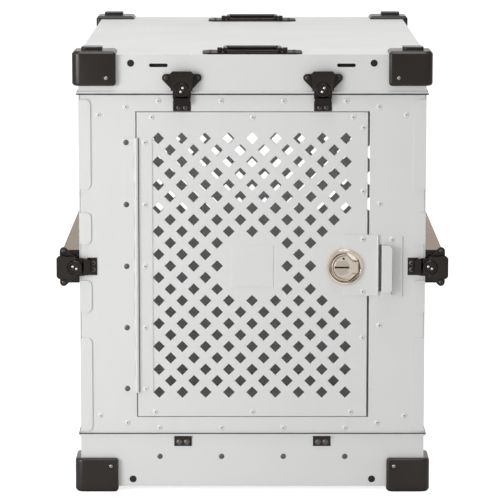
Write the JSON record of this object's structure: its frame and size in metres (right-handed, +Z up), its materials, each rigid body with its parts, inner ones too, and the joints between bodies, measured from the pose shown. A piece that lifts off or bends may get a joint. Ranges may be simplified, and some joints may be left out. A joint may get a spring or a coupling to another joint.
{
  "type": "collapsible travel crate",
  "caption": "Collapsible sheet-metal travel crate for a dog with diamond-cut vents, a hinged front door with a slam latch, rotary latches, corner caps and a lift-off lid with folding handles.",
  "frame": {"origin": "on the floor under the middle of the crate", "axes": "+X to the right across the front, +Y from the front with the door towards the back, +Z up"},
  "size_m": [0.656, 0.892, 0.754],
  "materials": {
    "white_powder_coat": "smooth white powder coat",
    "black_nylon": "black moulded nylon",
    "black_steel": "black coated steel",
    "black_channel": "black coated channel",
    "chrome_lock": "bright nickel plate",
    "lock_barrel": "satin nickel"
  },
  "bodies": {
    "crate_base": {"base_tray": "white_powder_coat", "tray_floor": "white_powder_coat", "base_corner_caps": "black_nylon", "base_catch_plates": "black_steel", "side_wall_right": "white_powder_coat", "side_wall_left": "white_powder_coat", "side_rails": "black_channel", "side_latch_plates": "black_nylon", "front_hinge_tray_leaf": "white_powder_coat", "back_hinge_tray_leaf": "white_powder_coat"},
    "front": {"front_wall": "white_powder_coat", "front_keepers": "black_steel", "strike_bracket": "white_powder_coat", "door_hinge_frame_leaf": "white_powder_coat", "front_hinge_wall_leaf": "white_powder_coat"},
    "back": {"back_wall": "white_powder_coat", "back_keepers": "black_steel", "back_hinge_wall_leaf": "white_powder_coat"},
    "door": {"door_panel": "white_powder_coat", "door_hinge_door_leaf": "white_powder_coat", "lock_cover_plate": "white_powder_coat", "lock_body": "chrome_lock"},
    "bolt": {"lock_bolt": "lock_barrel"},
    "paddle": {"lock_paddle": "chrome_lock"},
    "key_plug": {"lock_plug": "lock_barrel"},
    "lid": {"lid_pan": "white_powder_coat", "lid_corner_caps": "black_nylon", "lid_latch_plates": "black_nylon", "lid_handle_plates": "black_steel"},
    "front_grip": {"front_handle_grip": "black_nylon"},
    "back_grip": {"back_handle_grip": "black_nylon"},
    "lid_front_left_rotor": {"lid_front_left_rotor": "black_nylon"},
    "lid_front_left_wing": {"lid_front_left_wing": "black_nylon"},
    "lid_front_left_claw": {"lid_front_left_claw": "black_steel"},
    "lid_front_right_rotor": {"lid_front_right_rotor": "black_nylon"},
    "lid_front_right_wing": {"lid_front_right_wing": "black_nylon"},
    "lid_front_right_claw": {"lid_front_right_claw": "black_steel"},
    "lid_back_left_rotor": {"lid_back_left_rotor": "black_nylon"},
    "lid_back_left_wing": {"lid_back_left_wing": "black_nylon"},
    "lid_back_left_claw": {"lid_back_left_claw": "black_steel"},
    "lid_back_right_rotor": {"lid_back_right_rotor": "black_nylon"},
    "lid_back_right_wing": {"lid_back_right_wing": "black_nylon"},
    "lid_back_right_claw": {"lid_back_right_claw": "black_steel"},
    "side_front_left_rotor": {"side_front_left_rotor": "black_nylon"},
    "side_front_left_wing": {"side_front_left_wing": "black_nylon"},
    "side_front_left_claw": {"side_front_left_claw": "black_steel"},
    "side_front_right_rotor": {"side_front_right_rotor": "black_nylon"},
    "side_front_right_wing": {"side_front_right_wing": "black_nylon"},
    "side_front_right_claw": {"side_front_right_claw": "black_steel"},
    "side_back_left_rotor": {"side_back_left_rotor": "black_nylon"},
    "side_back_left_wing": {"side_back_left_wing": "black_nylon"},
    "side_back_left_claw": {"side_back_left_claw": "black_steel"},
    "side_back_right_rotor": {"side_back_right_rotor": "black_nylon"},
    "side_back_right_wing": {"side_back_right_wing": "black_nylon"},
    "side_back_right_claw": {"side_back_right_claw": "black_steel"}
  },
  "joints": [
    {"name": "front_fold", "type": "hinge", "parent": "crate_base", "child": "front", "pos_m": [0, -0.4244, 0.088], "axis": [-1, 0, 0], "range_deg": [0, 90]},
    {"name": "back_fold", "type": "hinge", "parent": "crate_base", "child": "back", "pos_m": [0, 0.4244, 0.04], "axis": [1, 0, 0], "range_deg": [0, 90]},
    {"name": "door_swing", "type": "hinge", "parent": "front", "child": "door", "pos_m": [-0.19395, -0.4336, 0.385], "axis": [0, 0, 1], "range_deg": [-160, 0]},
    {"name": "paddle_lift", "type": "hinge", "parent": "door", "child": "paddle", "pos_m": [0.1358, -0.434, 0.385], "axis": [0, 0, -1], "range_deg": [0, 45], "stiffness_Nm_per_rad": 0.02},
    {"name": "lock_bolt_slide", "type": "slide", "parent": "door", "child": "bolt", "axis": [-1, 0, 0], "range_m": [0, 0.01]},
    {"name": "key_turn", "type": "hinge", "parent": "paddle", "child": "key_plug", "pos_m": [0.1498, -0.434, 0.385], "axis": [0, -1, 0], "range_deg": [0, 90]},
    {"name": "lid_lift", "type": "slide", "parent": "crate_base", "child": "lid", "axis": [0, 0, 1], "range_m": [0, 0.15]},
    {"name": "front_grip_lift", "type": "hinge", "parent": "lid", "child": "front_grip", "pos_m": [0, -0.413, 0.7489], "axis": [1, 0, 0], "range_deg": [0, 90]},
    {"name": "back_grip_lift", "type": "hinge", "parent": "lid", "child": "back_grip", "pos_m": [0, 0.3215, 0.7489], "axis": [1, 0, 0], "range_deg": [0, 90]},
    {"name": "lid_front_left_turn", "type": "hinge", "parent": "lid", "child": "lid_front_left_rotor", "pos_m": [-0.1174, -0.43, 0.6845], "axis": [0, -1, 0], "range_deg": [0, 180]},
    {"name": "lid_front_left_wing_fold", "type": "hinge", "parent": "lid_front_left_rotor", "child": "lid_front_left_wing", "pos_m": [-0.1174, -0.4426, 0.6845], "axis": [1, 0, 0], "range_deg": [0, 90]},
    {"name": "lid_front_left_claw_slide", "type": "slide", "parent": "lid", "child": "lid_front_left_claw", "axis": [0, 0, -1], "range_m": [0, 0.01]},
    {"name": "lid_front_right_turn", "type": "hinge", "parent": "lid", "child": "lid_front_right_rotor", "pos_m": [0.1174, -0.43, 0.6845], "axis": [0, -1, 0], "range_deg": [0, 180]},
    {"name": "lid_front_right_wing_fold", "type": "hinge", "parent": "lid_front_right_rotor", "child": "lid_front_right_wing", "pos_m": [0.1174, -0.4426, 0.6845], "axis": [1, 0, 0], "range_deg": [0, 90]},
    {"name": "lid_front_right_claw_slide", "type": "slide", "parent": "lid", "child": "lid_front_right_claw", "axis": [0, 0, -1], "range_m": [0, 0.01]},
    {"name": "lid_back_left_turn", "type": "hinge", "parent": "lid", "child": "lid_back_left_rotor", "pos_m": [-0.1174, 0.43, 0.6845], "axis": [0, 1, 0], "range_deg": [0, 180]},
    {"name": "lid_back_left_wing_fold", "type": "hinge", "parent": "lid_back_left_rotor", "child": "lid_back_left_wing", "pos_m": [-0.1174, 0.4426, 0.6845], "axis": [-1, 0, 0], "range_deg": [0, 90]},
    {"name": "lid_back_left_claw_slide", "type": "slide", "parent": "lid", "child": "lid_back_left_claw", "axis": [0, 0, -1], "range_m": [0, 0.01]},
    {"name": "lid_back_right_turn", "type": "hinge", "parent": "lid", "child": "lid_back_right_rotor", "pos_m": [0.1174, 0.43, 0.6845], "axis": [0, 1, 0], "range_deg": [0, 180]},
    {"name": "lid_back_right_wing_fold", "type": "hinge", "parent": "lid_back_right_rotor", "child": "lid_back_right_wing", "pos_m": [0.1174, 0.4426, 0.6845], "axis": [-1, 0, 0], "range_deg": [0, 90]},
    {"name": "lid_back_right_claw_slide", "type": "slide", "parent": "lid", "child": "lid_back_right_claw", "axis": [0, 0, -1], "range_m": [0, 0.01]},
    {"name": "side_front_left_turn", "type": "hinge", "parent": "crate_base", "child": "side_front_left_rotor", "pos_m": [-0.2975, -0.43, 0.386], "axis": [0, -1, 0], "range_deg": [0, 180]},
    {"name": "side_front_left_wing_fold", "type": "hinge", "parent": "side_front_left_rotor", "child": "side_front_left_wing", "pos_m": [-0.2975, -0.4426, 0.386], "axis": [0, 0, 1], "range_deg": [0, 90]},
    {"name": "side_front_left_claw_slide", "type": "slide", "parent": "crate_base", "child": "side_front_left_claw", "axis": [1, 0, 0], "range_m": [0, 0.01]},
    {"name": "side_front_right_turn", "type": "hinge", "parent": "crate_base", "child": "side_front_right_rotor", "pos_m": [0.2975, -0.43, 0.386], "axis": [0, -1, 0], "range_deg": [0, 180]},
    {"name": "side_front_right_wing_fold", "type": "hinge", "parent": "side_front_right_rotor", "child": "side_front_right_wing", "pos_m": [0.2975, -0.4426, 0.386], "axis": [0, 0, -1], "range_deg": [0, 90]},
    {"name": "side_front_right_claw_slide", "type": "slide", "parent": "crate_base", "child": "side_front_right_claw", "axis": [-1, 0, 0], "range_m": [0, 0.01]},
    {"name": "side_back_left_turn", "type": "hinge", "parent": "crate_base", "child": "side_back_left_rotor", "pos_m": [-0.2975, 0.43, 0.386], "axis": [0, 1, 0], "range_deg": [0, 180]},
    {"name": "side_back_left_wing_fold", "type": "hinge", "parent": "side_back_left_rotor", "child": "side_back_left_wing", "pos_m": [-0.2975, 0.4426, 0.386], "axis": [0, 0, -1], "range_deg": [0, 90]},
    {"name": "side_back_left_claw_slide", "type": "slide", "parent": "crate_base", "child": "side_back_left_claw", "axis": [1, 0, 0], "range_m": [0, 0.01]},
    {"name": "side_back_right_turn", "type": "hinge", "parent": "crate_base", "child": "side_back_right_rotor", "pos_m": [0.2975, 0.43, 0.386], "axis": [0, 1, 0], "range_deg": [0, 180]},
    {"name": "side_back_right_wing_fold", "type": "hinge", "parent": "side_back_right_rotor", "child": "side_back_right_wing", "pos_m": [0.2975, 0.4426, 0.386], "axis": [0, 0, 1], "range_deg": [0, 90]},
    {"name": "side_back_right_claw_slide", "type": "slide", "parent": "crate_base", "child": "side_back_right_claw", "axis": [-1, 0, 0], "range_m": [0, 0.01]}
  ],
  "couplings": [
    {"joint": "lock_bolt_slide", "follows": "paddle_lift", "m_per_rad": 0.0127},
    {"joint": "lid_front_left_claw_slide", "follows": "lid_front_left_turn", "m_per_rad": 0.00318},
    {"joint": "lid_front_right_claw_slide", "follows": "lid_front_right_turn", "m_per_rad": 0.00318},
    {"joint": "lid_back_left_claw_slide", "follows": "lid_back_left_turn", "m_per_rad": 0.00318},
    {"joint": "lid_back_right_claw_slide", "follows": "lid_back_right_turn", "m_per_rad": 0.00318},
    {"joint": "side_front_left_claw_slide", "follows": "side_front_left_turn", "m_per_rad": 0.00318},
    {"joint": "side_front_right_claw_slide", "follows": "side_front_right_turn", "m_per_rad": 0.00318},
    {"joint": "side_back_left_claw_slide", "follows": "side_back_left_turn", "m_per_rad": 0.00318},
    {"joint": "side_back_right_claw_slide", "follows": "side_back_right_turn", "m_per_rad": 0.00318}
  ]
}
